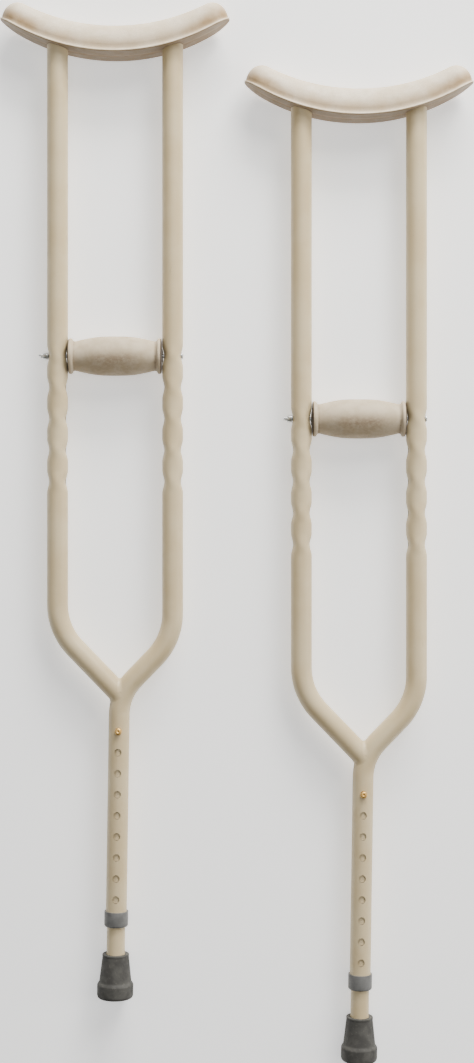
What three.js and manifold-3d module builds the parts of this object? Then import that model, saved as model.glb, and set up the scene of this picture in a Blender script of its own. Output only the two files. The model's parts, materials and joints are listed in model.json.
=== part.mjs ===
// A pair of heavy-duty steel underarm crutches, lying flat side by side, in millimetres.
// X runs across the pair, +Y from the feet to the underarm pads, and Z = 0 is the floor they lie on.
// Each crutch has a long main tube, which is one bow and the stem, and a branch tube welded to its neck.
// A bolted handgrip spans the bows, and a leg with a spring button telescopes out of the stem.
import * as THREE from "three";
import { mergeVertices } from "three/addons/utils/BufferGeometryUtils.js";
import Module from "manifold-3d";

const wasm = await Module();
wasm.setup();

// ---- driving dimensions ----
const inch = 25.4;
const gap = 0.35; // clearance kept between neighbouring pieces

const tube = { radius: inch / 2, wall: 1.245, sides: 12 };
const legTube = { radius: (0.875 * inch) / 2, wall: 1.245 };
const bowSpacing = 5.5 * inch; // between the axes of the two bows
const neck = { height: 368, offset: 5.4, bendRadius: 2.5 * inch }; // where the branch meets the main tube
const bow = { diagonal: THREE.MathUtils.degToRad(44), bendRadius: 3 * inch };

const gripHoles = { top: 778, pitch: 1.5 * inch, count: 5, radius: 2.8 };
const dimple = { depth: 2.45, halfLength: 14, bulge: 0.4 }; // the tube is pinched at each grip hole
const buttonHoles = { top: 323.8, pitch: inch, count: 9, radius: 4.2 };

const pad = {
  underside: 1142, // height of the underside at mid-length
  curve: 242, // radius of the saddle
  halfLength: 139,
  height: 36.5,
  halfWidth: 22.5,
  endRound: 24.3, // length over which each end comes down to the rim
  endPlan: 18, // length over which each end is rounded in plan
  taper: 0.25, // share of the width lost towards the ends
};
const rail = { halfLength: 112, halfWidth: 15, thickness: 4, cover: 5 };
const padSlit = 5;

const foot = { base: 22, baseHeight: 16.5, shoulder: 19.6, mouth: 16.2, height: 53, floor: 20 };
const collar = { bottom: 86.5, height: 18.5, radius: 14.5, lip: 2.8 };
const leg = { bottom: 22.6, top: 335 };

const grip = { halfLength: 56.7, dome: 1.4, flange: 21.3, barrel: 24, groove: 17.8, oval: 0.88 };
const core = { radius: inch / 4, halfLength: 58 };
const bolt = { radius: (3 * inch) / 32, headRadius: 4.2, headHeight: 2, seat: 80.95, end: 90 };
const washer = { radius: 4.6, thickness: 0.9, seat: 81.1 };
const wingNut = { hub: 4.2, hubTop: 3.7, hubHeight: 5, span: 11.5, rise: 9.8, thickness: 2.6 };

const button = { radius: 3.9, bottom: 8.85, top: 15.9 };
const clip = { halfWidth: 4, thickness: 0.8, outer: 8.5, top: 331, fold: 284 };

const pair = { apart: 296, stagger: 3 * inch };

// ---- materials ----
const material = (color, roughness, metalness) =>
  new THREE.MeshStandardMaterial({ color, roughness, metalness });
const finishes = {
  enamel: material(0xc3b8a5, 0.45, 0.1), // beige powder coat
  padVinyl: material(0xcfc4b4, 0.6, 0),
  gripVinyl: material(0xb9ac9b, 0.65, 0),
  greyPlastic: material(0x77756f, 0.5, 0),
  greyRubber: material(0x565650, 0.8, 0),
  zinc: material(0xc9c9c4, 0.3, 1),
  brass: material(0xd8a85c, 0.3, 1),
  springSteel: material(0x8e9196, 0.35, 1),
};

// ---- solids ----
// A closed geometry as a manifold-3d solid.
function solid(geometry) {
  const bare = geometry.clone();
  bare.deleteAttribute("normal");
  bare.deleteAttribute("uv");
  const merged = mergeVertices(bare, 1e-4);
  return new wasm.Manifold(
    new wasm.Mesh({
      numProp: 3,
      vertProperties: merged.attributes.position.array,
      triVerts: new Uint32Array(merged.index.array),
    }),
  );
}

// A manifold-3d solid back as a geometry.
function geometryOf(made) {
  const { numProp, vertProperties, triVerts } = made.getMesh();
  const position = new Float32Array((vertProperties.length / numProp) * 3);
  for (let i = 0; i < position.length / 3; i++)
    position.set(vertProperties.subarray(i * numProp, i * numProp + 3), i * 3);
  const geometry = new THREE.BufferGeometry();
  geometry.setAttribute("position", new THREE.BufferAttribute(position, 3));
  geometry.setIndex(new THREE.BufferAttribute(triVerts, 1));
  return geometry;
}

// A solid of revolution about Y from [radius, height] pairs, listed anticlockwise.
function turned(profile, sides = tube.sides) {
  const points = profile.map(([r, y]) => new THREE.Vector2(r, y));
  return new THREE.LatheGeometry(points, sides);
}

// A ring with a rectangular section, turned about Y.
const ring = (inner, outer, low, high, sides) =>
  turned([[inner, low], [outer, low], [outer, high], [inner, high], [inner, low]], sides);

// A capped cylinder whose rings are moved onto stations along a line: place(i, across, depth) gives
// where the point of the unit circle at (across, depth) lies on ring i.
function lofted(stations, sides, place) {
  const geometry = new THREE.CylinderGeometry(1, 1, 1, sides, stations - 1);
  const position = geometry.attributes.position;
  const point = new THREE.Vector3();
  for (let i = 0; i < position.count; i++) {
    point.fromBufferAttribute(position, i);
    const station = Math.round((point.y + 0.5) * (stations - 1));
    position.setXYZ(i, ...place(station, point.x, point.z).toArray());
  }
  return geometry;
}

// ---- the tubes ----
const bowX = bowSpacing / 2;
const neckPoint = new THREE.Vector2(neck.offset, neck.height);
const stemLean = Math.atan2(neck.offset, neck.height); // the stem leans so that the foot is central
const cornerHeight = (x) => neck.height + Math.abs(x - neck.offset) / Math.tan(bow.diagonal);
const undersideAt = (x) => pad.underside + pad.curve - Math.sqrt(pad.curve ** 2 - x ** 2);
const railUndersideAt = (x) => undersideAt(x) + rail.cover;
const gripHoleHeights = Array.from({ length: gripHoles.count }, (_, i) => gripHoles.top - i * gripHoles.pitch);

// How far the bow is pinched at a height: a smooth dip at each grip hole.
function pinchAt(y) {
  const away = Math.min(...gripHoleHeights.map((hole) => Math.abs(y - hole))) / dimple.halfLength;
  return away < 1 ? (dimple.depth * (1 + Math.cos(Math.PI * away))) / 2 : 0;
}

// Stations round one corner of a line, each with its point and direction.
function bend(before, corner, after, radius, steps) {
  const into = corner.clone().sub(before).normalize();
  const out = after.clone().sub(corner).normalize();
  const turn = Math.atan2(into.x * out.y - into.y * out.x, into.dot(out));
  const tangent = radius * Math.tan(Math.abs(turn) / 2);
  const side = Math.sign(turn);
  const start = corner.clone().addScaledVector(into, -tangent);
  const centre = start.clone().add(new THREE.Vector2(-into.y, into.x).multiplyScalar(side * radius));
  const origin = new THREE.Vector2(0, 0);
  return Array.from({ length: steps + 1 }, (_, i) => {
    const angle = (turn * i) / steps;
    return {
      at: start.clone().sub(centre).rotateAround(origin, angle).add(centre),
      along: into.clone().rotateAround(origin, angle),
    };
  });
}

// Stations up a bow: at the deepest point and both ends of each dimple.
function bowStations(x, bottom, top) {
  const heights = gripHoleHeights
    .toReversed()
    .flatMap((hole) => [-1, 0, 1].map((step) => hole + step * dimple.halfLength));
  return [...heights.filter((y) => y > bottom), top].map((y) => ({
    at: new THREE.Vector2(x, y),
    along: new THREE.Vector2(0, 1),
  }));
}

// The stations of a whole tube, from its lower end to the top of its bow.
function tubeStations(side, lowEnd) {
  const x = side * bowX;
  const corner = new THREE.Vector2(x, cornerHeight(x));
  const top = new THREE.Vector2(x, railUndersideAt(bowX + tube.radius) + 2);
  const bowBend = bend(neckPoint, corner, top, bow.bendRadius, 5);
  const up = bowStations(x, bowBend.at(-1).at.y, top.y);
  const start = { at: lowEnd, along: neckPoint.clone().sub(lowEnd).normalize() };
  if (side < 0) {
    start.along = corner.clone().sub(neckPoint).normalize();
    return [start, ...bowBend, ...up];
  }
  return [start, ...bend(lowEnd, neckPoint, corner, neck.bendRadius, 5), ...bowBend, ...up];
}

// A solid bar along a tube's stations, of any radius.
function bar(stations, radius) {
  return lofted(stations.length, tube.sides, (i, across, depth) => {
    const { at, along } = stations[i];
    const pinch = pinchAt(at.y);
    const x = across * (radius - pinch);
    const z = depth * (radius + dimple.bulge * pinch);
    return new THREE.Vector3(at.x + along.y * x, at.y - along.x * x, z);
  });
}

// A bar along X or Z that cuts a round hole.
function drill(radius, length, x, y, z, axis) {
  const made = new THREE.CylinderGeometry(radius, radius, length, 8);
  if (axis === "x") made.rotateZ(Math.PI / 2);
  else made.rotateX(Math.PI / 2);
  return solid(made.translate(x, y, z));
}

// The space that the rail and everything above it takes, which the bows stop short of.
function aboveRail() {
  const shape = new THREE.Shape();
  const half = bowX + 2 * tube.radius;
  const steps = 16;
  for (let i = 0; i <= steps; i++) {
    const x = half * ((2 * i) / steps - 1);
    const y = railUndersideAt(x) - gap;
    if (i) shape.lineTo(x, y);
    else shape.moveTo(x, y);
  }
  shape.lineTo(half, pad.underside + 100);
  shape.lineTo(-half, pad.underside + 100);
  const depth = 4 * tube.radius;
  return solid(new THREE.ExtrudeGeometry(shape, { depth, bevelEnabled: false }).translate(0, 0, -depth / 2));
}

const stemAxis = neckPoint.clone().normalize();
const mainStations = tubeStations(1, stemAxis.clone().multiplyScalar(collar.bottom + collar.lip + gap));
const mainCoreStations = tubeStations(1, stemAxis.clone().multiplyScalar(collar.bottom - 5));
const branchLow = neckPoint.clone().addScaledVector(
  new THREE.Vector2(Math.sin(bow.diagonal), -Math.cos(bow.diagonal)),
  5,
);
const branchStations = tubeStations(-1, branchLow);
const capped = aboveRail();

function boltHoles(x) {
  return gripHoleHeights.map((y) => drill(gripHoles.radius, 4 * tube.radius, x, y, 0, "x"));
}

function mainTube() {
  const leanTurn = new THREE.Matrix4().makeRotationZ(-stemLean);
  const holes = Array.from({ length: buttonHoles.count }, (_, i) => {
    const y = buttonHoles.top - i * buttonHoles.pitch;
    const at = new THREE.Vector3(0, y, tube.radius).applyMatrix4(leanTurn);
    return drill(buttonHoles.radius, tube.radius, at.x, at.y, at.z, "z");
  });
  return [...boltHoles(bowX), ...holes, capped].reduce(
    (made, cutter) => made.subtract(cutter),
    solid(bar(mainStations, tube.radius)).subtract(solid(bar(mainCoreStations, tube.radius - tube.wall))),
  );
}

function branchTube() {
  return [...boltHoles(-bowX), capped, solid(bar(mainStations, tube.radius + gap))].reduce(
    (made, cutter) => made.subtract(cutter),
    solid(bar(branchStations, tube.radius)).subtract(solid(bar(branchStations, tube.radius - tube.wall))),
  );
}

// The weld fills the groove round the branch's end, where both tubes are within its reach.
function neckWeld() {
  const reach = 1.7;
  const lower = (stations) => stations.slice(0, -1).filter(({ at }) => at.y < gripHoleHeights.at(-1));
  const main = lower(mainStations);
  const branch = lower(branchStations);
  return solid(bar(main, tube.radius + reach))
    .intersect(solid(bar(branch, tube.radius + reach)))
    .subtract(solid(bar(main, tube.radius + gap)))
    .subtract(solid(bar(branch, tube.radius + gap)));
}

// ---- the underarm saddle ----
// A strip that follows the saddle's curve, from its underside at height low to low + thickness.
function curvedBar(halfLength, low, thickness, halfWidth) {
  const steps = 10;
  const edge = (lift, i) => {
    const x = halfLength * ((2 * i) / steps - 1);
    return new THREE.Vector2(x, undersideAt(x) + lift);
  };
  const under = Array.from({ length: steps + 1 }, (_, i) => edge(low, i));
  const over = Array.from({ length: steps + 1 }, (_, i) => edge(low + thickness, steps - i));
  const shape = new THREE.Shape([...under, ...over]);
  const made = new THREE.ExtrudeGeometry(shape, { depth: 2 * halfWidth, bevelEnabled: false });
  return made.translate(0, 0, -halfWidth);
}

const railBar = () => curvedBar(rail.halfLength, rail.cover, rail.thickness, rail.halfWidth);

// The pad's height over its underside, and its half width, at a distance along the saddle.
function padSection(x) {
  const fromEnd = pad.halfLength - Math.abs(x);
  const rise = Math.sin((Math.PI / 2) * Math.min(fromEnd / pad.endRound, 1));
  const round = Math.sqrt(1 - (1 - Math.min(fromEnd / pad.endPlan, 1)) ** 2);
  const taper = 1 - pad.taper * (x / pad.halfLength) ** 4;
  return { height: pad.height * rise, halfWidth: pad.halfWidth * taper * round };
}

function underarmPad() {
  // the ends are never quite closed to a line, so that every ring keeps an area
  const along = [0.995, 0.95, 0.88, 0.78, 0.55, 0.28];
  const stations = [...along.map((t) => -t), 0, ...along.toReversed()].map((t) => t * pad.halfLength);
  const outer = lofted(stations.length, 14, (i, across, depth) => {
    const x = stations[i];
    const { height, halfWidth } = padSection(x);
    const lift = Math.max(across, 0) ** 0.75 * height;
    return new THREE.Vector3(x, undersideAt(x) + lift, -halfWidth * Math.sign(depth) * Math.abs(depth) ** 0.8);
  });
  const passages = [mainStations, branchStations].map((stations) =>
    solid(bar(stations.slice(-2), tube.radius + gap)).subtract(capped),
  );
  const pocket = curvedBar(rail.halfLength + gap, rail.cover - gap, rail.thickness + 2 * gap, rail.halfWidth + gap);
  const slit = curvedBar(rail.halfLength, -3, rail.cover + 4, padSlit / 2);
  return [solid(pocket), solid(slit), ...passages].reduce((made, cutter) => made.subtract(cutter), solid(outer));
}

// ---- the handgrip, turned about Y and laid along X ----
const alongX = (geometry) => geometry.rotateZ(-Math.PI / 2);

function handGrip() {
  const { halfLength: end, flange, barrel, groove } = grip;
  const half = [
    [flange - 1.6, end],
    [flange, end - 2],
    [flange, end - 5],
    [groove, end - 8],
    [groove + 1.2, end - 14],
    [barrel - 2.2, end - 27],
    [barrel - 0.4, end - 42],
  ];
  const bore = core.radius + gap;
  const profile = [
    [bore, -end - grip.dome],
    [groove / 2 + 1, -end - grip.dome / 3],
    ...half.map(([r, y]) => [r, -y]),
    [barrel, 0],
    ...half.toReversed(),
    [groove / 2 + 1, end + grip.dome / 3],
    [bore, end + grip.dome],
    [bore, -end - grip.dome],
  ];
  const made = turned(profile, 16);
  const position = made.attributes.position;
  // the grip is thinner from front to back, but its bore stays round
  for (let i = 0; i < position.count; i++)
    if (Math.hypot(position.getX(i), position.getZ(i)) > bore + 1) position.setZ(i, position.getZ(i) * grip.oval);
  return alongX(made);
}

const gripCore = () =>
  alongX(ring(gripHoles.radius, core.radius, -core.halfLength, core.halfLength));

// The bolt's head is at +X and its thread ends at -X, past the wing nut.
function gripBolt() {
  const { radius, headRadius, headHeight, seat, end } = bolt;
  return alongX(
    turned([
      [0, -end],
      [radius - 0.5, -end],
      [radius, -end + 1],
      [radius, seat],
      [headRadius, seat],
      [headRadius, seat + 0.8],
      [headRadius - 1.5, seat + headHeight],
      [0, seat + headHeight],
    ]),
  );
}

const boltWasher = () =>
  alongX(ring(gripHoles.radius, washer.radius, -washer.seat - washer.thickness, -washer.seat));

function wingNutSolid() {
  const { hub, hubTop, hubHeight, span, rise, thickness } = wingNut;
  const wing = new THREE.Shape();
  wing.moveTo(0, 1);
  wing.lineTo(hub - 1, 1);
  wing.quadraticCurveTo(span * 0.7, 1.8, span, rise - 3.5);
  wing.quadraticCurveTo(span + 0.5, rise, span - 3, rise);
  wing.quadraticCurveTo(span * 0.5, rise - 2, hubTop - 1, hubHeight - 0.5);
  wing.lineTo(0, hubHeight - 0.5);
  const blade = new THREE.ExtrudeGeometry(wing, { depth: thickness, bevelEnabled: false, curveSegments: 3 });
  blade.translate(0, 0, -thickness / 2);
  const body = solid(turned([[0, 0], [hub, 0], [hub, 1.5], [hubTop, hubHeight], [0, hubHeight]]));
  const bore = solid(new THREE.CylinderGeometry(gripHoles.radius, gripHoles.radius, 30, 8));
  const nut = body.add(solid(blade)).add(solid(blade.clone().rotateY(Math.PI))).subtract(bore);
  // the wings stand in the plane of X and Z, and rise towards -X
  return geometryOf(nut).rotateY(Math.PI / 2).rotateZ(Math.PI / 2);
}

// ---- the leg and foot, in the stem's own frame ----
function legTubeSolid() {
  const wall = solid(ring(legTube.radius - legTube.wall, legTube.radius, leg.bottom, leg.top));
  return wall.subtract(drill(buttonHoles.radius, legTube.radius, 0, buttonHoles.top, legTube.radius, "z"));
}

function footTip() {
  const bore = legTube.radius + gap + 0.1;
  return turned(
    [
      [0, 0],
      [foot.base - 2, 0],
      [foot.base, 2.5],
      [foot.base, foot.baseHeight],
      [foot.shoulder, foot.baseHeight + 2.5],
      [foot.mouth, foot.height - 3],
      [foot.mouth + 0.4, foot.height],
      [bore, foot.height],
      [bore, foot.floor],
      [0, foot.floor],
    ],
    16,
  );
}

const tipWasher = () => ring(3, legTube.radius - 0.3, foot.floor + 0.35, leg.bottom - gap);

function stemCollar() {
  const { bottom, height, radius, lip } = collar;
  const outer = tube.radius + gap;
  const inner = legTube.radius + gap;
  return turned([
    [inner, bottom],
    [radius - 1.2, bottom],
    [radius, bottom + 1.2],
    [radius, bottom + height],
    [outer, bottom + height],
    [outer, bottom + lip],
    [inner, bottom + lip],
    [inner, bottom],
  ]);
}

function snapButton() {
  const { radius, bottom, top } = button;
  return turned(
    [[0, bottom], [radius, bottom], [radius, top - 1.6], [radius - 1.4, top - 0.3], [0, top]],
    10,
  )
    .rotateX(Math.PI / 2)
    .translate(0, buttonHoles.top, 0);
}

// A strip folded to a V inside the leg: its front arm carries the button, its back arm bears on the tube.
function clipSpring() {
  const { halfWidth, thickness, outer, top, fold } = clip;
  const tip = 1.5;
  const shape = new THREE.Shape();
  shape.moveTo(outer, top);
  shape.lineTo(tip + thickness, fold);
  shape.quadraticCurveTo(0, fold - 3, -tip - thickness, fold);
  shape.lineTo(-outer, top);
  shape.lineTo(-outer + thickness, top);
  shape.lineTo(-tip, fold + 1.5);
  shape.quadraticCurveTo(0, fold, tip, fold + 1.5);
  shape.lineTo(outer - thickness, top);
  const made = new THREE.ExtrudeGeometry(shape, { depth: 2 * halfWidth, bevelEnabled: false, curveSegments: 4 });
  return made.translate(0, 0, -halfWidth).rotateY(-Math.PI / 2);
}

// ---- assembly ----
const frameParts = {
  main_tube: [geometryOf(mainTube()), finishes.enamel],
  branch_tube: [geometryOf(branchTube()), finishes.enamel],
  neck_weld: [geometryOf(neckWeld()), finishes.enamel],
  underarm_rail: [railBar(), finishes.enamel],
  underarm_pad: [geometryOf(underarmPad()), finishes.padVinyl],
};
const gripParts = {
  hand_grip: [handGrip(), finishes.gripVinyl],
  grip_core: [gripCore(), finishes.zinc],
  grip_bolt: [gripBolt(), finishes.zinc],
  bolt_washer: [boltWasher(), finishes.zinc],
};
const stemParts = {
  leg_tube: [geometryOf(legTubeSolid()), finishes.enamel],
  foot_tip: [footTip(), finishes.greyRubber],
  tip_washer: [tipWasher(), finishes.zinc],
  stem_collar: [stemCollar(), finishes.greyPlastic],
  snap_button: [snapButton(), finishes.brass],
  clip_spring: [clipSpring(), finishes.springSteel],
};

function addParts(group, side, parts) {
  for (const [name, [geometry, finish]] of Object.entries(parts)) {
    const mesh = new THREE.Mesh(geometry, finish);
    mesh.name = `${side}_${name}`;
    group.add(mesh);
  }
  return group;
}

function crutch(side) {
  const gripGroup = addParts(new THREE.Group(), side, gripParts);
  gripGroup.position.y = gripHoles.top;
  const nut = new THREE.Mesh(wingNutSolid(), finishes.zinc);
  nut.name = `${side}_wing_nut`;
  nut.position.x = -(washer.seat + washer.thickness + gap);
  gripGroup.add(nut);
  const stemGroup = addParts(new THREE.Group(), side, stemParts);
  stemGroup.rotation.z = -stemLean;
  return addParts(new THREE.Group(), side, frameParts).add(gripGroup, stemGroup);
}

const crutches = new THREE.Group();
const left = crutch("left");
const right = crutch("right");
left.position.set(-pair.apart / 2, pair.stagger, pad.halfWidth);
right.position.set(pair.apart / 2, 0, pad.halfWidth);
crutches.add(left, right);

// the origin is under the middle of the pair
const box = new THREE.Box3().setFromObject(crutches, true);
const middle = box.getCenter(new THREE.Vector3());
crutches.position.set(-middle.x, -middle.y, -box.min.z);

export default crutches;
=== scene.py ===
"""A pair of steel underarm crutches lying side by side: the looks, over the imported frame."""

import json
import math

import bmesh
import bpy
import numpy as np
from mathutils import Matrix, Vector


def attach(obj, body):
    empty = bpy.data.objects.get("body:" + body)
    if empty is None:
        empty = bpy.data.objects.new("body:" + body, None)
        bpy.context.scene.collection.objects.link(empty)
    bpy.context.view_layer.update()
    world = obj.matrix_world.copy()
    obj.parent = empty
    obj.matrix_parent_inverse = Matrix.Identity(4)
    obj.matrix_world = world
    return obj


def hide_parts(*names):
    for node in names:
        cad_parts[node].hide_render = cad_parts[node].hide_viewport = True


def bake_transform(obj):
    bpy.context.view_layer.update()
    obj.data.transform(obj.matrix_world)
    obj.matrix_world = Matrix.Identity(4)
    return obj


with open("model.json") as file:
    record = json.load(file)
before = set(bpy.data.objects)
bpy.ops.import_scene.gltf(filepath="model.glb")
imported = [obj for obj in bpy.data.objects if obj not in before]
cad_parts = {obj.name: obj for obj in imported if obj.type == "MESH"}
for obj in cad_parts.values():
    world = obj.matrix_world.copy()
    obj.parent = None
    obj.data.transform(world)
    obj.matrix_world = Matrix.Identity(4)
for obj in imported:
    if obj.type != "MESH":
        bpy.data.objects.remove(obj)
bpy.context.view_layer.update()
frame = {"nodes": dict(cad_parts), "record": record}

MM = 0.001
INCH = 25.4

# ---- sizes in millimetres, each crutch in its own frame: x from its axis, y up from the foot ----
TUBE_R = INCH / 2
WALL = 1.245
LEG_R = 0.875 * INCH / 2
BOW_X = 5.5 * INCH / 2
NECK = (5.4, 368.0)
NECK_BEND = 2.5 * INCH
BOW_BEND = 3 * INCH
DIAGONAL = math.radians(44)
LEAN = math.atan2(*NECK)
GRIP_Y = 778.0
GRIP_HOLES = [GRIP_Y - i * 1.5 * INCH for i in range(5)]
PINCH, PINCH_HALF, BULGE = 2.45, 14.0, 0.4
BUTTON_Y = 323.8
BUTTON_HOLE_R, BOLT_HOLE_R = 4.2, 2.8
BUTTON_HOLES = [BUTTON_Y - i * INCH for i in range(9)]
PAD_Y = 1142.0  # the underside, at the middle
PAD_CURVE, PAD_HALF, PAD_HEIGHT, PAD_HALF_WIDTH = 242.0, 139.0, 36.5, 22.5
PAD_LIP = 2.7  # thickness of the rolled lip
GRIP_END = 58.1  # from the middle of the grip to the rim of its bore
BOLT_R = 3 * INCH / 32
BOLT_SEAT = 80.9  # from the middle of the bolt to the underside of its head
NUT_X = -82.35  # where the wing nut's hub starts
COLLAR_R = 14.5
FOOT_FLOOR = 20.3  # the bottom of the foot tip's bore
WELD_REACH = 4.2
ROUND = 48  # sides of a round piece

joints = {j["name"]: j for j in frame["record"]["behaviour"]["joints"]}


# ---- mesh building ----
def add_mesh(name, vertices, faces, material, angle=35):
    mesh = bpy.data.meshes.new(name)
    mesh.from_pydata([tuple(v) for v in vertices], [], [tuple(f) for f in faces])
    bm = bmesh.new()
    bm.from_mesh(mesh)
    bmesh.ops.remove_doubles(bm, verts=bm.verts, dist=1e-7)
    bmesh.ops.recalc_face_normals(bm, faces=bm.faces)
    bm.to_mesh(mesh)
    bm.free()
    piece = bpy.data.objects.new(name, mesh)
    bpy.context.scene.collection.objects.link(piece)
    mesh.materials.append(material)
    smooth(piece, angle)
    return piece


def smooth(piece, angle=35):
    mesh = piece.data
    mesh.shade_smooth()
    mesh.set_sharp_from_angle(angle=math.radians(angle))


def grid_faces(rings, sides, close_rings=False):
    """Quads between rings of points, each ring closed on itself."""
    faces = []
    for i in range(rings if close_rings else rings - 1):
        low, high = i * sides, (i + 1) % rings * sides
        for j in range(sides):
            k = (j + 1) % sides
            faces.append((low + j, low + k, high + k, high + j))
    return faces


def skin(rings, caps=True, close_rings=False):
    """Vertices and faces of a tube through rings, an array of (ring, point, xyz)."""
    rings = np.asarray(rings, float)
    count, sides, _ = rings.shape
    faces = grid_faces(count, sides, close_rings)
    if caps and not close_rings:
        faces.append(tuple(range(sides - 1, -1, -1)))
        faces.append(tuple(range((count - 1) * sides, count * sides)))
    return rings.reshape(-1, 3), faces


def joined(*parts):
    """Several (vertices, faces) as one."""
    vertices, faces, start = [], [], 0
    for v, f in parts:
        vertices.append(np.asarray(v, float))
        faces += [tuple(i + start for i in face) for face in f]
        start += len(v)
    return np.vstack(vertices), faces


def turned(profile, sides=ROUND, closed=False):
    """A turned solid about y from (radius, y) pairs. A profile that is closed has no point on the axis."""
    angle = np.arange(sides) * 2 * math.pi / sides
    rings = [np.c_[r * np.sin(angle), np.full(sides, y), r * np.cos(angle)] for r, y in profile]
    return skin(rings, caps=not closed, close_rings=closed)


def turn(part, axis, degrees):
    v, f = part
    return v @ np.array(Matrix.Rotation(math.radians(degrees), 3, axis)).T, f


def shift(part, x=0.0, y=0.0, z=0.0):
    v, f = part
    return v + np.array([x, y, z]), f


def rounded(points, radius, steps=5):
    """A profile whose corners are rounded: points are (a, b) or (a, b, own radius)."""
    out = []
    count = len(points)
    for i, point in enumerate(points):
        here = np.array(point[:2], float)
        r = point[2] if len(point) > 2 else radius
        if i in (0, count - 1) or r <= 0:
            out.append(tuple(here))
            continue
        before, after = np.array(points[i - 1][:2], float), np.array(points[i + 1][:2], float)
        a, b = before - here, after - here
        reach = min(r, np.linalg.norm(a) * 0.49, np.linalg.norm(b) * 0.49)
        start, end = here + a / np.linalg.norm(a) * reach, here + b / np.linalg.norm(b) * reach
        for k in range(steps + 1):
            t = k / steps
            out.append(tuple((1 - t) ** 2 * start + 2 * t * (1 - t) * here + t * t * end))
    return out


def spline(points, steps=6):
    """A smooth line through (a, b) points."""
    p = np.array([points[0], *points, points[-1]], float)
    out = []
    for i in range(1, len(p) - 2):
        for k in range(steps):
            t = k / steps
            out.append(
                0.5
                * (
                    2 * p[i]
                    + (p[i + 1] - p[i - 1]) * t
                    + (2 * p[i - 1] - 5 * p[i] + 4 * p[i + 1] - p[i + 2]) * t**2
                    + (3 * p[i] - p[i - 1] - 3 * p[i + 1] + p[i + 2]) * t**3
                )
            )
    out.append(p[-1])
    return [tuple(q) for q in out]


def ease(t):
    t = np.clip(t, 0, 1)
    return t * t * (3 - 2 * t)


def cut(piece, part):
    """Cuts a solid, given as (vertices, faces) in metres, out of a piece. The cut faces take the cutter's
    dark painted-shade material.
    """
    cutter = add_mesh("cutter", *part, MATERIALS["dark_painted_shade"])
    modifier = piece.modifiers.new("cut", "BOOLEAN")
    modifier.operation = "DIFFERENCE"
    modifier.solver = "EXACT"
    modifier.material_mode = "TRANSFER"
    modifier.use_self = True
    modifier.object = cutter
    depsgraph = bpy.context.evaluated_depsgraph_get()
    mesh = bpy.data.meshes.new_from_object(piece.evaluated_get(depsgraph))
    piece.modifiers.clear()
    old = piece.data
    piece.data = mesh
    bpy.data.meshes.remove(old)
    bpy.data.objects.remove(cutter, do_unlink=True)
    smooth(piece)


# ---- materials ----
class Shader:
    """A Principled material and short ways to add detail to it. Lengths are in metres."""

    def __init__(self, name, roughness, metallic=0.0, **sockets):
        self.material = bpy.data.materials.new(name)
        self.material.use_nodes = True
        self.tree = self.material.node_tree
        self.main = self.tree.nodes["Principled BSDF"]
        self.main.inputs["Roughness"].default_value = roughness
        self.main.inputs["Metallic"].default_value = metallic
        for key, value in sockets.items():
            self.main.inputs[key.replace("_", " ")].default_value = value
        self.place = self.add("ShaderNodeTexCoord").outputs["Object"]
        self.height = None

    def add(self, kind, **values):
        node = self.tree.nodes.new(kind)
        for key, value in values.items():
            setattr(node, key, value)
        return node

    def link(self, a, b):
        self.tree.links.new(a, b)

    def put(self, socket, value):
        if isinstance(value, bpy.types.NodeSocket):
            self.link(value, socket)
        else:
            socket.default_value = value

    def noise(self, size, detail=3.0, rough=0.5, stretch=None, seed=0.0):
        """Noise from 0 to 1 whose features are about size across."""
        node = self.add("ShaderNodeTexNoise")
        node.inputs["Scale"].default_value = 1 / size
        node.inputs["Detail"].default_value = detail
        node.inputs["Roughness"].default_value = rough
        mapping = self.add("ShaderNodeMapping")
        mapping.inputs["Location"].default_value = (seed, seed * 0.7, seed * 1.3)
        mapping.inputs["Scale"].default_value = stretch or (1, 1, 1)
        self.link(self.place, mapping.inputs["Vector"])
        self.link(mapping.outputs["Vector"], node.inputs["Vector"])
        return node.outputs["Fac"]

    def stain_and_shade(self):
        """How far the piece is stained or darkened by painted shade at a point, as set when it was made."""
        return self.add("ShaderNodeAttribute", attribute_name="stain_and_shade").outputs["Fac"]

    def cells(self, size, feature="F1"):
        node = self.add("ShaderNodeTexVoronoi", feature=feature)
        node.inputs["Scale"].default_value = 1 / size
        self.link(self.place, node.inputs["Vector"])
        return node.outputs["Distance"]

    def span(self, value, low, high, to_low=0.0, to_high=1.0):
        node = self.add("ShaderNodeMapRange", interpolation_type="SMOOTHSTEP")
        self.put(node.inputs["Value"], value)
        for key, number in (("From Min", low), ("From Max", high), ("To Min", to_low), ("To Max", to_high)):
            node.inputs[key].default_value = number
        return node.outputs["Result"]

    def math(self, operation, a, b=0.0):
        node = self.add("ShaderNodeMath", operation=operation)
        self.put(node.inputs[0], a)
        self.put(node.inputs[1], b)
        return node.outputs["Value"]

    def mix(self, factor, a, b):
        node = self.add("ShaderNodeMix", data_type="RGBA")
        self.put(node.inputs["Factor"], factor)
        for socket, value in ((node.inputs[6], a), (node.inputs[7], b)):
            self.put(socket, value if isinstance(value, bpy.types.NodeSocket) else colour(value))
        return node.outputs[2]

    def paint(self, value):
        self.put(self.main.inputs["Base Color"], value)

    def gloss(self, value):
        self.put(self.main.inputs["Roughness"], value)

    def bump(self, value, depth, strength=1.0):
        node = self.add("ShaderNodeBump")
        node.inputs["Strength"].default_value = strength
        node.inputs["Distance"].default_value = depth
        self.link(value, node.inputs["Height"])
        if self.height:
            self.link(self.height, node.inputs["Normal"])
        self.height = node.outputs["Normal"]
        self.link(self.height, self.main.inputs["Normal"])


def colour(rgb):
    """A colour given as sRGB, 0 to 255."""
    return (*[((c / 255 + 0.055) / 1.055) ** 2.4 for c in rgb], 1.0)


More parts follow.
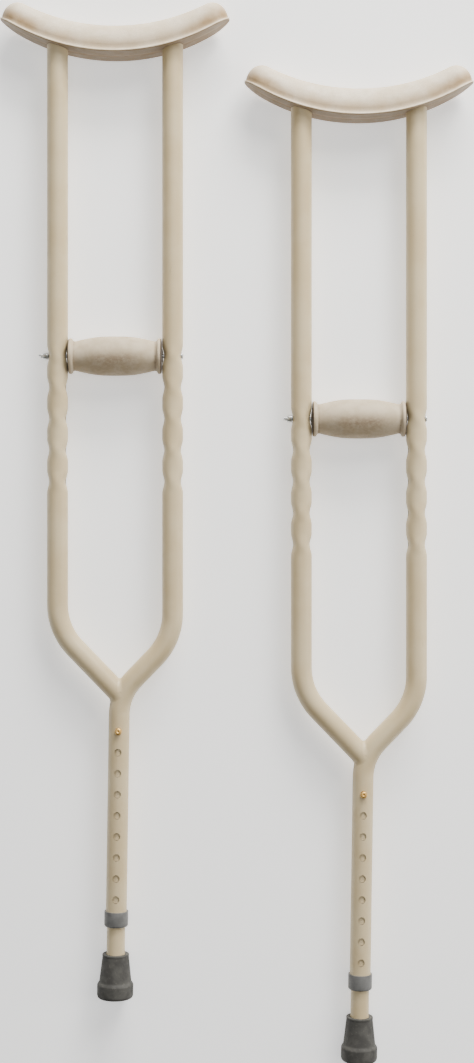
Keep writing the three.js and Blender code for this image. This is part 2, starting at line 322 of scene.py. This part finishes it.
def enamel():
    """Beige powder coat: fine orange peel, faint clouding, small scuffs and specks."""
    s = Shader("enamel", 0.42, Specular_IOR_Level=0.5, Coat_Weight=0.12, Coat_Roughness=0.3)
    cloud = s.noise(0.045, 3)
    base = s.mix(s.span(cloud, 0.35, 0.65), (206, 188, 149), (199, 179, 138))
    scuff = s.span(s.noise(0.011, 5, 0.65, stretch=(1.6, 0.5, 1.6), seed=3.1), 0.67, 0.75)
    speck = s.span(s.noise(0.0016, 2, seed=7.7), 0.73, 0.8)
    base = s.mix(s.math("MULTIPLY", scuff, 0.35), base, (172, 152, 116))
    s.paint(s.mix(s.math("MULTIPLY", speck, 0.4), base, (150, 136, 113)))
    s.gloss(s.span(s.noise(0.006, 4, seed=1.2), 0.3, 0.7, 0.36, 0.5))
    s.bump(s.noise(0.0011, 2), 0.00006, 0.5)
    s.bump(scuff, 0.00005, 0.3)
    return s.material


def dark_painted_shade():
    """Bare steel where the coating stops, such as the punched edge of a hole, coloured dark brown as painted
    shade in the hole walls.
    """
    s = Shader("dark_painted_shade", 0.6, 0.0)
    # dark brown-grey: painted shade, not the steel's own colour
    s.paint(s.mix(s.span(s.noise(0.0015, 3), 0.35, 0.65), (92, 78, 55), (66, 56, 40)))
    s.bump(s.noise(0.0005, 2), 0.00005, 0.4)
    return s.material


def pad_vinyl():
    """Soft beige vinyl over foam: pebbled grain, faint creases, tan ageing in the hollow above the lip that
    also serves as painted shade there, and a darker painted shade on the underside.
    """
    s = Shader("pad_vinyl", 0.55, Specular_IOR_Level=0.4, Sheen_Weight=0.15, Sheen_Roughness=0.5)
    base = s.mix(s.span(s.noise(0.02, 4), 0.35, 0.68), (232, 218, 194), (222, 204, 174))
    blotch = s.span(s.noise(0.03, 5, 0.6, seed=4.0), 0.42, 0.7)
    base = s.mix(s.math("MULTIPLY", blotch, 0.36), base, (190, 168, 130))
    stain_and_shade = s.math("MULTIPLY", s.stain_and_shade(), s.span(s.noise(0.018, 5, 0.65, seed=1.7), 0.2, 0.75, 0.65, 1.0))
    # tan where the values run to 1: part ageing, part painted shade in the hollow above the lip and under the
    # pad
    base = s.mix(stain_and_shade, base, (152, 121, 76))
    # the darker brown for values above 1 is painted shade on the pad's underside
    base = s.mix(s.span(s.stain_and_shade(), 1.0, 2.0), base, (120, 98, 66))
    grain = s.cells(0.0011, "SMOOTH_F1")
    s.paint(s.mix(s.span(grain, 0.25, 0.65, 0, 0.2), base, (168, 151, 126)))
    s.gloss(s.span(s.noise(0.012, 3, seed=2.0), 0.3, 0.7, 0.48, 0.64))
    s.bump(grain, 0.00012, 0.45)
    s.bump(s.noise(0.0065, 3, 0.55, stretch=(0.6, 1.4, 1)), 0.0006, 0.35)
    return s.material


def grip_vinyl():
    """Moulded grip: pale, with a mottled brown-grey bloom worked into it by use, painted shade in the flange
    grooves and a near-black painted contact shadow on its ends.
    """
    s = Shader("grip_vinyl", 0.6, Specular_IOR_Level=0.35, Sheen_Weight=0.1, Sheen_Roughness=0.5)
    base = s.mix(s.span(s.noise(0.014, 4), 0.35, 0.65), (201, 185, 158), (189, 172, 143))
    mottle = s.span(s.noise(0.0034, 6, 0.7, stretch=(0.75, 1.1, 1), seed=5.0), 0.3, 0.68, 0.5, 1.0)
    # brown where the values run to 1: the mottled stain from use, and painted shade in the grooves
    base = s.mix(s.math("MULTIPLY", s.stain_and_shade(), mottle), base, (124, 104, 80))
    # the near-black for values above 1 is a painted contact shadow on the grip's ends against the tubes
    s.paint(s.mix(s.span(s.stain_and_shade(), 1.0, 2.0), base, (62, 50, 36)))
    s.gloss(s.span(s.noise(0.004, 3, seed=1.0), 0.3, 0.7, 0.5, 0.72))
    s.bump(s.cells(0.0008, "SMOOTH_F1"), 0.0001, 0.35)
    s.bump(s.noise(0.003, 4, 0.6), 0.0003, 0.35)
    return s.material


def rubber(name, tones, grain=0.0009):
    """Dark moulded rubber with a dusty bloom and fine pits."""
    s = Shader(name, 0.72, Specular_IOR_Level=0.35)
    base = s.mix(s.span(s.noise(0.012, 4), 0.35, 0.65), *tones)
    dust = s.span(s.noise(0.004, 5, 0.7, seed=9.0), 0.56, 0.75)
    s.paint(s.mix(s.math("MULTIPLY", dust, 0.35), base, (128, 124, 115)))
    s.gloss(s.span(s.noise(0.006, 3, seed=2.5), 0.3, 0.7, 0.62, 0.82))
    s.bump(s.noise(grain, 3, 0.6), 0.00012, 0.5)
    return s.material


def grey_plastic():
    """Satin grey moulding with faint flow marks round it."""
    s = Shader("grey_plastic", 0.48, Specular_IOR_Level=0.45)
    base = s.mix(s.span(s.noise(0.01, 3), 0.35, 0.65), (106, 106, 104), (93, 93, 91))
    flow = s.noise(0.002, 3, stretch=(0.3, 2.5, 0.3), seed=6.0)
    s.paint(s.mix(s.span(flow, 0.5, 0.8, 0, 0.3), base, (80, 80, 78)))
    s.gloss(s.span(flow, 0.3, 0.7, 0.4, 0.56))
    s.bump(s.noise(0.0007, 2), 0.00005, 0.4)
    return s.material


def metal(name, tones, roughness, stretch=(1, 1, 1), size=0.0012):
    """Bare or plated metal: fine directional marks and a little tarnish."""
    s = Shader(name, roughness, 1.0)
    marks = s.noise(size, 4, 0.6, stretch=stretch)
    tarnish = s.span(s.noise(0.0035, 4, 0.6, seed=8.0), 0.45, 0.72)
    base = s.mix(s.span(marks, 0.35, 0.65), tones[0], tones[1])
    s.paint(s.mix(s.math("MULTIPLY", tarnish, 0.5), base, tones[2]))
    s.gloss(s.span(marks, 0.3, 0.7, roughness - 0.07, roughness + 0.12))
    s.bump(marks, 0.00003, 0.35)
    return s.material


MATERIALS = {
    "enamel": enamel(),
    "dark_painted_shade": dark_painted_shade(),
    "pad_vinyl": pad_vinyl(),
    "grip_vinyl": grip_vinyl(),
    "grey_plastic": grey_plastic(),
    "grey_rubber": rubber("grey_rubber", ((77, 76, 72), (62, 61, 58))),
    "zinc": metal("zinc", ((205, 206, 203), (182, 184, 182), (150, 150, 146)), 0.3, (6, 1, 1)),
    "brass": metal("brass", ((244, 204, 128), (232, 184, 104), (196, 140, 66)), 0.4),
    "spring_steel": metal(
        "spring_steel", ((150, 152, 156), (128, 131, 136), (104, 104, 104)), 0.34, (1, 0.2, 1)
    ),
}


# ---- the line of the tubes ----
def bend(before, corner, after, radius, steps):
    """Stations round one corner of a line, as (x, y, direction x, direction y)."""
    before, corner, after = (np.array(p, float) for p in (before, corner, after))
    into = (corner - before) / np.linalg.norm(corner - before)
    out = (after - corner) / np.linalg.norm(after - corner)
    turned_by = math.atan2(into[0] * out[1] - into[1] * out[0], into @ out)
    start = corner - into * radius * math.tan(abs(turned_by) / 2)
    centre = start + math.copysign(radius, turned_by) * np.array([-into[1], into[0]])
    stations = []
    for i in range(steps + 1):
        a = turned_by * i / steps
        spin = np.array([[math.cos(a), -math.sin(a)], [math.sin(a), math.cos(a)]])
        stations.append((*(spin @ (start - centre) + centre), *(spin @ into)))
    return stations


def underside(x):
    return PAD_Y + PAD_CURVE - np.sqrt(PAD_CURVE**2 - np.asarray(x, float) ** 2)


def pinch(y):
    """How far the bow is pinched at height y: a smooth dip at each grip hole."""
    away = min(abs(y - hole) for hole in GRIP_HOLES) / PINCH_HALF
    return PINCH * (1 + math.cos(math.pi * away)) / 2 if away < 1 else 0.0


def corner_of(side):
    x = side * BOW_X
    return (x, NECK[1] + abs(x - NECK[0]) / math.tan(DIAGONAL))


def stem_point(y):
    """The point on the stem's axis at distance y from the foot."""
    return (y * math.sin(LEAN), y * math.cos(LEAN))


def line_of(side, low):
    """Stations of a whole tube from its lower end to inside the pad."""
    corner = corner_of(side)
    top = (corner[0], float(underside(corner[0])) + 3)
    bow = bend(NECK, corner, top, BOW_BEND, 16)
    plain = GRIP_Y + PINCH_HALF  # above this the bow has no dimples
    heights = np.r_[np.arange(bow[-1][1] + 4, plain, 2.0), plain, GRIP_Y + 120, top[1]]
    up = [(corner[0], y, 0.0, 1.0) for y in heights]
    if side < 0:
        along = np.array(corner) - np.array(NECK)
        along = along / np.linalg.norm(along)
        return [(*low, *along), *bow, *up]
    along = np.array(NECK) - np.array(low)
    along = along / np.linalg.norm(along)
    return [(*low, *along), *bend(low, NECK, corner, NECK_BEND, 14), *bow, *up]


def rings_of(stations, radius):
    angle = np.arange(ROUND) * 2 * math.pi / ROUND
    rings = []
    for x, y, dx, dy in stations:
        deep = pinch(y)
        across = np.sin(angle) * (radius - deep)
        rings.append(np.c_[x + dy * across, y - dx * across, np.cos(angle) * (radius + BULGE * deep)])
    return rings


def hollow(stations):
    """A tube with its bore, open at both ends."""
    outer, inner = rings_of(stations, TUBE_R), rings_of(stations, TUBE_R - WALL)
    return skin([*outer, *inner[::-1]], close_rings=True)


def hole_cutter(radius, surface, depth=5.0, eased=0.4):
    """A round cutter along y through the wall at a surface, with a small chamfer there."""
    beyond = 2.0
    profile = [
        (radius, surface - depth),
        (radius, surface - eased),
        (radius + eased + beyond, surface + beyond),
        (radius + beyond, surface + 2 * beyond),
    ]
    return turned(profile, 32)


def front_hole(radius, y, surface):
    """A cutter for a hole that faces +z, at y up the stem, in the stem's own frame."""
    return shift(turn(hole_cutter(radius, surface), "X", 90), 0, y)


def bolt_hole(x, y):
    """Cutters for both walls of a bow, at a dimple."""
    one = hole_cutter(BOLT_HOLE_R, TUBE_R - PINCH)
    return joined(shift(turn(one, "Z", -90), x, y), shift(turn(one, "Z", 90), x, y))


# ---- the pad ----
def pad_section(x):
    """Points round the pad's section at x: the rolled lip, the crowned body and the underside, as (y, z)."""
    from_end = PAD_HALF - abs(x)
    plan = math.sqrt(max(0.0, 1 - (1 - min((from_end + 0.3) / 20, 1)) ** 2))
    taper = 1 - 0.25 * (x / PAD_HALF) ** 4
    lip_z = PAD_HALF_WIDTH * taper * max(plan, 0.12)
    body_end = max(from_end - 1.3, 0.0)
    rise = (1 - (1 - min(body_end / 27, 1)) ** 1.7) ** (1 / 1.7)
    body = math.sqrt(max(0.0, 1 - (1 - min(body_end / 19, 1)) ** 2))
    height = max(PAD_HEIGHT * rise, PAD_LIP + 0.02)
    body_z = max(min(PAD_HALF_WIDTH * taper * body, lip_z) - 1.5, 0.3)
    points = []
    for a in np.linspace(0, math.pi, 45):
        c, s = math.cos(a), math.sin(a)
        y = PAD_LIP + (height - PAD_LIP) * abs(s) ** 0.92
        # the side is drawn in a little above the lip
        waist = 1 - 0.05 * math.exp(-(((y - 5.2) / 2.4) ** 2)) * abs(c)
        points.append((y, body_z * math.copysign(abs(c) ** 0.92, c) * waist))
    bead = PAD_LIP / 2
    front = [
        (bead - bead * math.cos(q), lip_z - bead + bead * math.sin(q))
        for q in np.linspace(0, math.pi * 0.93, 9)
    ]
    back = [(y, -z) for y, z in front[::-1]]
    base = np.linspace(-(lip_z - 1.6), lip_z - 1.6, 15)
    seam = [(0.45 * math.exp(-((z / 0.9) ** 2)), z) for z in base]
    return front + points + back + seam


def pad_part():
    ends = PAD_HALF - np.r_[0.0, 0.25, 0.6, 1.1, 1.4, 1.8, 2.4, 3.2, np.arange(4.2, 30, 1.4)]
    middle = np.linspace(-ends[-1] + 3, ends[-1] - 3, 74)
    stations = np.r_[-ends, middle, ends[::-1]]
    rings = []
    for x in stations:
        lift = float(underside(x))
        rings.append([(x, lift + y, z) for y, z in pad_section(float(x))])
    return skin(rings)


def pad_stain_and_shade(v):
    """Tan in the hollow above the lip, most of all at the ends, part ageing and part painted shade; the
    underside is darkest, as painted shade.
    """
    x, lift = np.abs(v[:, 0]), v[:, 1] - underside(v[:, 0])
    ends = ease((x - 74) / 36)
    # the hollow above the lip: tan ageing and painted shade together
    hollow_above = np.exp(-(((lift - 9) / (8 + 4 * ends)) ** 2)) * ease((lift - 2.2) / 1.5)
    # painted shade on the underside, up to 1.7 so the darker brown is used there
    below = 1 - ease(lift / 1.2)
    return np.maximum(hollow_above * (0.62 + 0.38 * ends), 1.7 * below)


# ---- the grip ----
GRIP_OUTLINE = [
    (10.0, 57.2), (14.0, 56.9), (18.2, 56.6), (20.3, 56.2), (21.3, 55.3), (21.6, 53.8),
    (21.3, 52.3), (20.0, 51.3), (18.5, 50.4), (17.9, 48.9), (18.2, 46.6), (19.2, 42.5),
    (20.6, 36.0), (22.1, 28.5), (23.3, 19.5), (23.8, 10.5), (23.95, 0.0),
]  # (radius, distance from the middle)


def grip_part():
    outline = spline(GRIP_OUTLINE, 5)
    bore = INCH / 4 + 0.2
    left, right = [(r, -x) for r, x in outline], outline[::-1][1:]
    v, f = turned([(bore, -GRIP_END), *left, *right, (bore, GRIP_END)], 72, closed=True)
    outer = np.hypot(v[:, 0], v[:, 2]) > bore + 1
    oval = v.copy()
    oval[outer, 2] *= 0.88
    # above, the barrel is a little flatter along its middle than below
    up = outer & (oval[:, 0] < 0)
    oval[up, 0] = np.maximum(oval[up, 0], -23.1 - 0.35 * np.cos(v[up, 1] / 20))
    return turn((oval, f), "Z", -90)


def grip_stain_and_shade(v):
    """The barrel is darker towards the bottom, with a mottled brown patch low in its middle from use; the
    flange grooves carry painted shade and the ends a near-black painted contact shadow.
    """
    x = np.abs(v[:, 0])
    middle = np.exp(-((x / 33) ** 4))
    low = ease((9 - v[:, 1]) / 16)
    band = np.exp(-(((v[:, 1] + 2) / 9) ** 2))
    # painted shade in the flange groove
    groove = 0.6 * np.exp(-(((x - 49.2) / 1.2) ** 2))
    barrel = np.clip(middle * low * (0.25 + 0.55 * band) + 0.22 * low + groove, 0, 1)
    # the ends, up to 2: a near-black painted contact shadow against the tube
    return np.maximum(barrel, 2 * ease((x - 54.9) / 0.9))


# ---- hardware, made along y and then laid along x ----
def thread(radius, start, end, pitch, side_steps=28):
    """A bar with a screw thread on it from start to end."""
    turns = (end - start) / pitch
    rings = []
    steps = int(turns * 8)
    angle = np.arange(side_steps) * 2 * math.pi / side_steps
    for i in range(steps + 1):
        y = start + (end - start) * i / steps
        phase = (y / pitch - np.arange(side_steps) / side_steps) % 1
        depth = 0.4 * np.abs(2 * phase - 1)
        fade = min(1.0, (end - y) / 1.0 + 0.25)
        r = (radius - depth) * (0.82 + 0.18 * fade)
        rings.append(np.c_[r * np.sin(angle), np.full(side_steps, y), r * np.cos(angle)])
    return skin(rings)


def bolt_part():
    """The head is at +x, and the thread ends past the wing nut at -x."""
    shank = turned(rounded([(0.01, -64), (BOLT_R, -64), (BOLT_R, BOLT_SEAT), (0.01, BOLT_SEAT)], 0.1, 2), 28)
    dome = [(4.2 * math.cos(a), 81.5 + 1.45 * math.sin(a)) for a in np.linspace(0, math.pi / 2, 9)[:-1]]
    head = turned(rounded([(0.01, 80.8), (4.0, 80.8), (4.2, 81.0)], 0.1, 2) + dome + [(0.01, 82.95)], 40)
    tail = turn(thread(BOLT_R, 63.5, 90.0, 0.8), "Z", 180)
    return turn(joined(shank, head, tail), "Z", -90)


def wing_part():
    """One wing of the nut as a lofted blade that rises from the hub, outward along x."""
    line = spline([(2.4, 2.4), (4.8, 2.7), (7.4, 4.2), (9.4, 6.6), (10.4, 8.2)], 6)
    rings = []
    for i, (x, y) in enumerate(line):
        t = i / (len(line) - 1)
        a, b = line[max(i - 1, 0)], line[min(i + 1, len(line) - 1)]
        along = np.array([b[0] - a[0], b[1] - a[1]])
        along /= np.linalg.norm(along)
        side = np.array([-along[1], along[0]])
        half = 1.7 + 0.8 * math.sin(math.pi * t) - 0.4 * ease((t - 0.75) / 0.25)
        thick = 1.35 - 0.2 * t
        ring = []
        for k in range(20):
            q = 2 * math.pi * k / 20
            c, s = math.cos(q), math.sin(q)
            across = half * math.copysign(abs(c) ** 0.75, c)
            ring.append((x + side[0] * across, y + side[1] * across, thick * math.copysign(abs(s) ** 0.8, s)))
        rings.append(ring)
    tip, last = np.array([line[-1][0], line[-1][1], 0.0]), np.array(rings[-1])
    push = np.array([along[0], along[1], 0.0])
    for scale, out in ((0.86, 0.55), (0.55, 1.0), (0.15, 1.2)):
        rings.append((last - tip) * scale + tip + push * out)
    return skin(rings)


def wing_nut_part():
    hub = rounded(
        [
            (2.6, 0.3), (2.9, 0.0), (3.9, 0.0), (4.2, 0.4), (4.15, 1.4), (3.7, 4.5), (3.3, 5.0),
            (2.9, 5.0), (2.6, 4.7),
        ],
        0.3,
        3,
    )
    wing = wing_part()
    part = joined(turned(hub, 36, closed=True), wing, turn(wing, "Y", 180))
    return turn(turn(part, "Y", 90), "Z", 90)


# ---- the leg and foot, in the stem's own frame ----
def ring_part(inner, outer, low, high, edge=0.25, sides=ROUND):
    return turned(
        [
            (inner, low + edge), (inner + edge, low), (outer - edge, low), (outer, low + edge),
            (outer, high - edge), (outer - edge, high), (inner + edge, high), (inner, high - edge),
        ],
        sides,
        closed=True,
    )


def foot_part():
    """The rubber tip: a base band, a cone with a lipped mouth, and a ringed tread."""
    bore = LEG_R + 0.12
    outline = rounded(
        [
            (bore, FOOT_FLOOR), (bore, 52.4), (bore + 0.5, 53.0), (15.9, 53.0), (16.3, 52.4),
            (16.25, 50.6), (16.0, 50.0), (19.4, 20.6), (19.8, 19.4), (21.3, 17.3), (22.0, 16.0),
            (22.0, 3.2), (21.2, 1.0), (19.9, 0.02),
        ],
        0.8,
        4,
    )
    tread = []
    for radius in (18.6, 14.6, 10.6, 6.6):
        tread += [(radius, 0.02), (radius - 0.5, 1.1), (radius - 1.5, 1.1), (radius - 2.0, 0.02)]
    return turned([(0.01, FOOT_FLOOR), *outline, *tread, (0.01, 0.02)], 64)


def collar_part():
    inner, outer = LEG_R + 0.2, TUBE_R + 0.12
    profile = [
        (inner, 86.5), (13.5, 86.5), (COLLAR_R, 88.0), (COLLAR_R, 105.0), (outer, 105.0),
        (outer, 89.3), (inner, 89.3),
    ]
    return turned(rounded([*profile, profile[0]], 0.35, 3)[:-1], 56, closed=True)


def button_part():
    """A brass button with a domed face and a small dimple in the middle of it."""
    dome = [
        (4.1, 12.9), (4.1, 14.3), (3.95, 14.95), (3.5, 15.4), (2.8, 15.65), (2.0, 15.76), (1.3, 15.7),
        (0.9, 15.35), (0.5, 15.1), (0.01, 15.05),
    ]
    base = [(0.01, 8.85), (4.6, 8.85), (4.6, 9.6), (4.1, 9.7)]
    return turn(turned(base + spline(dome, 3), 40), "X", 90)


def spring_part():
    """The strip folded to a V: its front arm ends under the button and its back arm bears on the leg."""
    arm = [(8.1, 331.0), (7.9, 318.0), (2.2, 286.5)]
    line = spline([*arm, (0.0, 283.6), *[(-z, y) for z, y in arm[::-1]]], 8)
    half, thick = 3.9, 0.36
    rings = []
    for i, (z, y) in enumerate(line):
        a, b = line[max(i - 1, 0)], line[min(i + 1, len(line) - 1)]
        along = np.array([b[0] - a[0], b[1] - a[1]])
        along /= np.linalg.norm(along)
        n = np.array([-along[1], along[0]]) * thick
        end = min(i, len(line) - 1 - i)
        w = half * min(1.0, 0.55 + 0.15 * end)
        corners = ((-w, 1), (w, 1), (w, -1), (-w, -1))
        rings.append([(x, y + face * n[1], z + face * n[0]) for x, face in corners])
    return skin(rings)


def weld_part():
    """The fillet laid round the branch where it meets the main tube, tangent to both, with faint ripples."""
    main = np.array(line_of(1, stem_point(90)))[:, :2]
    axis = np.array(corner_of(-1)) - np.array(NECK)
    axis = np.append(axis / np.linalg.norm(axis), 0.0)
    side = np.array([-axis[1], axis[0], 0.0])
    up, foot = np.array([0.0, 0.0, 1.0]), np.array([*NECK, 0.0])

    def clearance(p):
        a, b = main[:-1], main[1:]
        t = np.clip(((p[:2] - a) * (b - a)).sum(1) / ((b - a) ** 2).sum(1), 0, 1)
        return math.hypot(np.linalg.norm(a + (b - a) * t[:, None] - p[:2], axis=1).min(), p[2]) - TUBE_R

    def normal(p):
        n = np.array([clearance(p + d) - clearance(p - d) for d in np.eye(3) * 0.05])
        return n / np.linalg.norm(n)

    count = 180
    line, outward = [], []
    for i in range(count):
        a = 2 * math.pi * i / count
        out = side * math.cos(a) + up * math.sin(a)
        low, high = 0.0, 60.0
        for _ in range(40):
            middle = (low + high) / 2
            if clearance(foot + out * TUBE_R + axis * middle) > 0:
                high = middle
            else:
                low = middle
        line.append(foot + out * TUBE_R + axis * high)
        outward.append(out)
    rings = []
    run = 0.0
    for i in range(count):
        here, after, before, out = line[i], line[(i + 1) % count], line[i - 1], outward[i]
        run += np.linalg.norm(here - before)
        tangent = (after - before) / np.linalg.norm(after - before)
        if np.cross(tangent, out) @ axis < 0:
            tangent = -tangent
        n = normal(here)
        reach = WELD_REACH + 0.25 * abs(math.sin(run * math.pi / 2.6))
        on_branch = here + np.cross(tangent, out) * reach
        on_main = here + np.cross(n, tangent) * reach
        on_main -= normal(on_main) * (clearance(on_main) + 0.06)
        on_branch -= out * 0.06
        crease = here + (out + n) * 0.05
        ring = [
            (1 - t) ** 2 * on_branch + 2 * t * (1 - t) * crease + t * t * on_main
            for t in np.linspace(0, 1, 9)
        ]
        inside = here - (out + n) * 0.45
        ring += [on_main + (inside - on_main) * 0.4, inside, on_branch + (inside - on_branch) * 0.4]
        rings.append(ring)
    return skin(rings, close_rings=True)


# ---- assembly ----
class Crutch:
    """Places pieces of one crutch: local millimetres to the row frame."""

    def __init__(self, side):
        self.side = side
        x, y, z = joints[side + "_grip_turn"]["pos_m"]
        self.origin = np.array([x, y - GRIP_Y * MM, z])
        c, s = math.cos(LEAN), math.sin(LEAN)
        self.stem = np.array([[c, s, 0], [-s, c, 0], [0, 0, 1]])

    def add(self, name, part, slot, body, in_stem=False, at=(0, 0, 0), angle=35, cutters=(), stain_and_shade=None):
        """A piece that stands for the CAD node of the same name."""
        v, f = shift(part, *at)
        piece = add_mesh(f"{self.side}_{name}_visual", self.rows(v, in_stem), f, MATERIALS[slot], angle)
        # the per-point values hold real staining and painted shade together
        if stain_and_shade:
            points = np.array([vertex.co for vertex in piece.data.vertices])
            stain_and_shade_values = stain_and_shade((points - self.origin) / MM - np.array(at))
            piece.data.attributes.new("stain_and_shade", "FLOAT", "POINT").data.foreach_set("value", stain_and_shade_values)
        if cutters:
            cv, cf = joined(*cutters)
            cut(piece, (self.rows(cv, False), cf))
        if body:
            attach(piece, f"{self.side}_{body}")
        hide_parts(f"{self.side}_{name}")
        return piece

    def rows(self, v, in_stem):
        """Points in metres in the row frame."""
        v = np.asarray(v, float)
        return (v @ self.stem.T if in_stem else v) * MM + self.origin

    def in_stem(self, part):
        """A part turned from the stem's frame to the crutch's."""
        v, f = part
        return v @ self.stem.T, f

    def build(self):
        main_line = line_of(1, stem_point(89.6))
        holes = [self.in_stem(front_hole(BUTTON_HOLE_R, y, TUBE_R)) for y in BUTTON_HOLES]
        holes += [bolt_hole(BOW_X, y) for y in GRIP_HOLES]
        self.add("main_tube", hollow(main_line), "enamel", "frame", cutters=holes)
        branch_low = (NECK[0] + 6 * math.sin(DIAGONAL), NECK[1] - 6 * math.cos(DIAGONAL))
        cope = skin(rings_of([s for s in main_line if s[1] < 500], TUBE_R + 0.05))
        holes = [cope, *[bolt_hole(-BOW_X, y) for y in GRIP_HOLES]]
        self.add("branch_tube", hollow(line_of(-1, branch_low)), "enamel", "frame", cutters=holes)
        self.add("neck_weld", weld_part(), "enamel", "frame", angle=80)
        pad = self.add("underarm_pad", pad_part(), "pad_vinyl", "frame", angle=50, stain_and_shade=pad_stain_and_shade)
        grip_at = (0, GRIP_Y, 0)
        grip = self.add("hand_grip", grip_part(), "grip_vinyl", "grip", at=grip_at, angle=60, stain_and_shade=grip_stain_and_shade)
        self.add("grip_bolt", bolt_part(), "zinc", "frame", at=grip_at)
        washer = turn(ring_part(BOLT_HOLE_R, 4.6, -82.0, -81.1, 0.16), "Z", -90)
        self.add("bolt_washer", washer, "zinc", "frame", at=grip_at)
        nut_at = (NUT_X, GRIP_Y, 0)
        self.add("wing_nut", wing_nut_part(), "zinc", "nut", at=nut_at, angle=50)
        leg = ring_part(LEG_R - WALL, LEG_R, 22.6, 335.0)
        hole = self.in_stem(front_hole(BUTTON_HOLE_R, BUTTON_Y, LEG_R))
        self.add("leg_tube", leg, "enamel", "leg", in_stem=True, cutters=[hole])
        self.add("foot_tip", foot_part(), "grey_rubber", "leg", in_stem=True)
        self.add("stem_collar", collar_part(), "grey_plastic", "frame", in_stem=True)
        self.add("snap_button", button_part(), "brass", "button", in_stem=True, at=(0, BUTTON_Y, 0), angle=60)
        spring = self.add("clip_spring", spring_part(), "spring_steel", None, in_stem=True)
        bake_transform(spring)
        # the grip core gets the dark painted-shade material, so it reads as the shadowed gap at the grip's
        # ends; the rail and tip washer keep their own finishes
        for name, slot in (("underarm_rail", "enamel"), ("grip_core", "dark_painted_shade"), ("tip_washer", "zinc")):
            node = frame["nodes"][f"{self.side}_{name}"]
            node.data.materials.clear()
            node.data.materials.append(MATERIALS[slot])
            smooth(node)


for crutch_side in ("left", "right"):
    Crutch(crutch_side).build()


# ---- floor, light and camera ----
def floor():
    bm = bmesh.new()
    bmesh.ops.create_grid(bm, x_segments=2, y_segments=2, size=9)
    mesh = bpy.data.meshes.new("floor")
    bm.to_mesh(mesh)
    bm.free()
    ground = bpy.data.objects.new("floor", mesh)
    ground.location.z = -0.0002
    bpy.context.scene.collection.objects.link(ground)
    material = bpy.data.materials.new("floor")
    material.use_nodes = True
    shader = material.node_tree.nodes["Principled BSDF"]
    shader.inputs["Base Color"].default_value = (0.9, 0.9, 0.89, 1)
    shader.inputs["Roughness"].default_value = 0.9
    shader.inputs["Emission Color"].default_value = (1, 1, 1, 1)
    shader.inputs["Emission Strength"].default_value = 0.65
    mesh.materials.append(material)


def area_light(name, place, target, size, power, tint=(1, 1, 1)):
    data = bpy.data.lights.new(name, "AREA")
    data.shape = "RECTANGLE"
    data.size, data.size_y = size
    data.energy = power
    data.color = tint
    lamp = bpy.data.objects.new(name, data)
    lamp.location = place
    lamp.rotation_euler = (Vector(target) - Vector(place)).to_track_quat("-Z", "Y").to_euler()
    bpy.context.scene.collection.objects.link(lamp)


floor()
area_light("key", (1.6, 2.6, 2.0), (0, 0.15, 0), (1.4, 1.4), 96, (1, 0.985, 0.955))
area_light("crown", (0.7, 3.1, 1.1), (0, 0.4, 0), (2.0, 0.8), 190, (1, 0.985, 0.96))
area_light("fill", (-2.2, 0.4, 1.5), (0, 0, 0), (0.8, 2.4), 5)
area_light("side", (2.4, -0.1, 1.2), (0, 0, 0), (0.8, 2.2), 28, (1, 0.98, 0.95))
area_light("overhead", (0, 0.3, 3.6), (0, 0.1, 0), (2.4, 2.4), 34)

world = bpy.data.worlds.new("studio")
world.use_nodes = True
world.node_tree.nodes["Background"].inputs["Color"].default_value = (1, 1, 1, 1)
world.node_tree.nodes["Background"].inputs["Strength"].default_value = 0.12
bpy.context.scene.world = world

camera = bpy.data.cameras.new("camera")
camera.sensor_width = 36
camera.lens = 54.4
camera.clip_start, camera.clip_end = 0.05, 50
eye = bpy.data.objects.new("camera", camera)
eye.location = (0, 0, 0.0225 + 1.95)
eye.rotation_euler = (0, 0, 0)
bpy.context.scene.collection.objects.link(eye)
bpy.context.scene.camera = eye

bpy.context.view_layer.update()
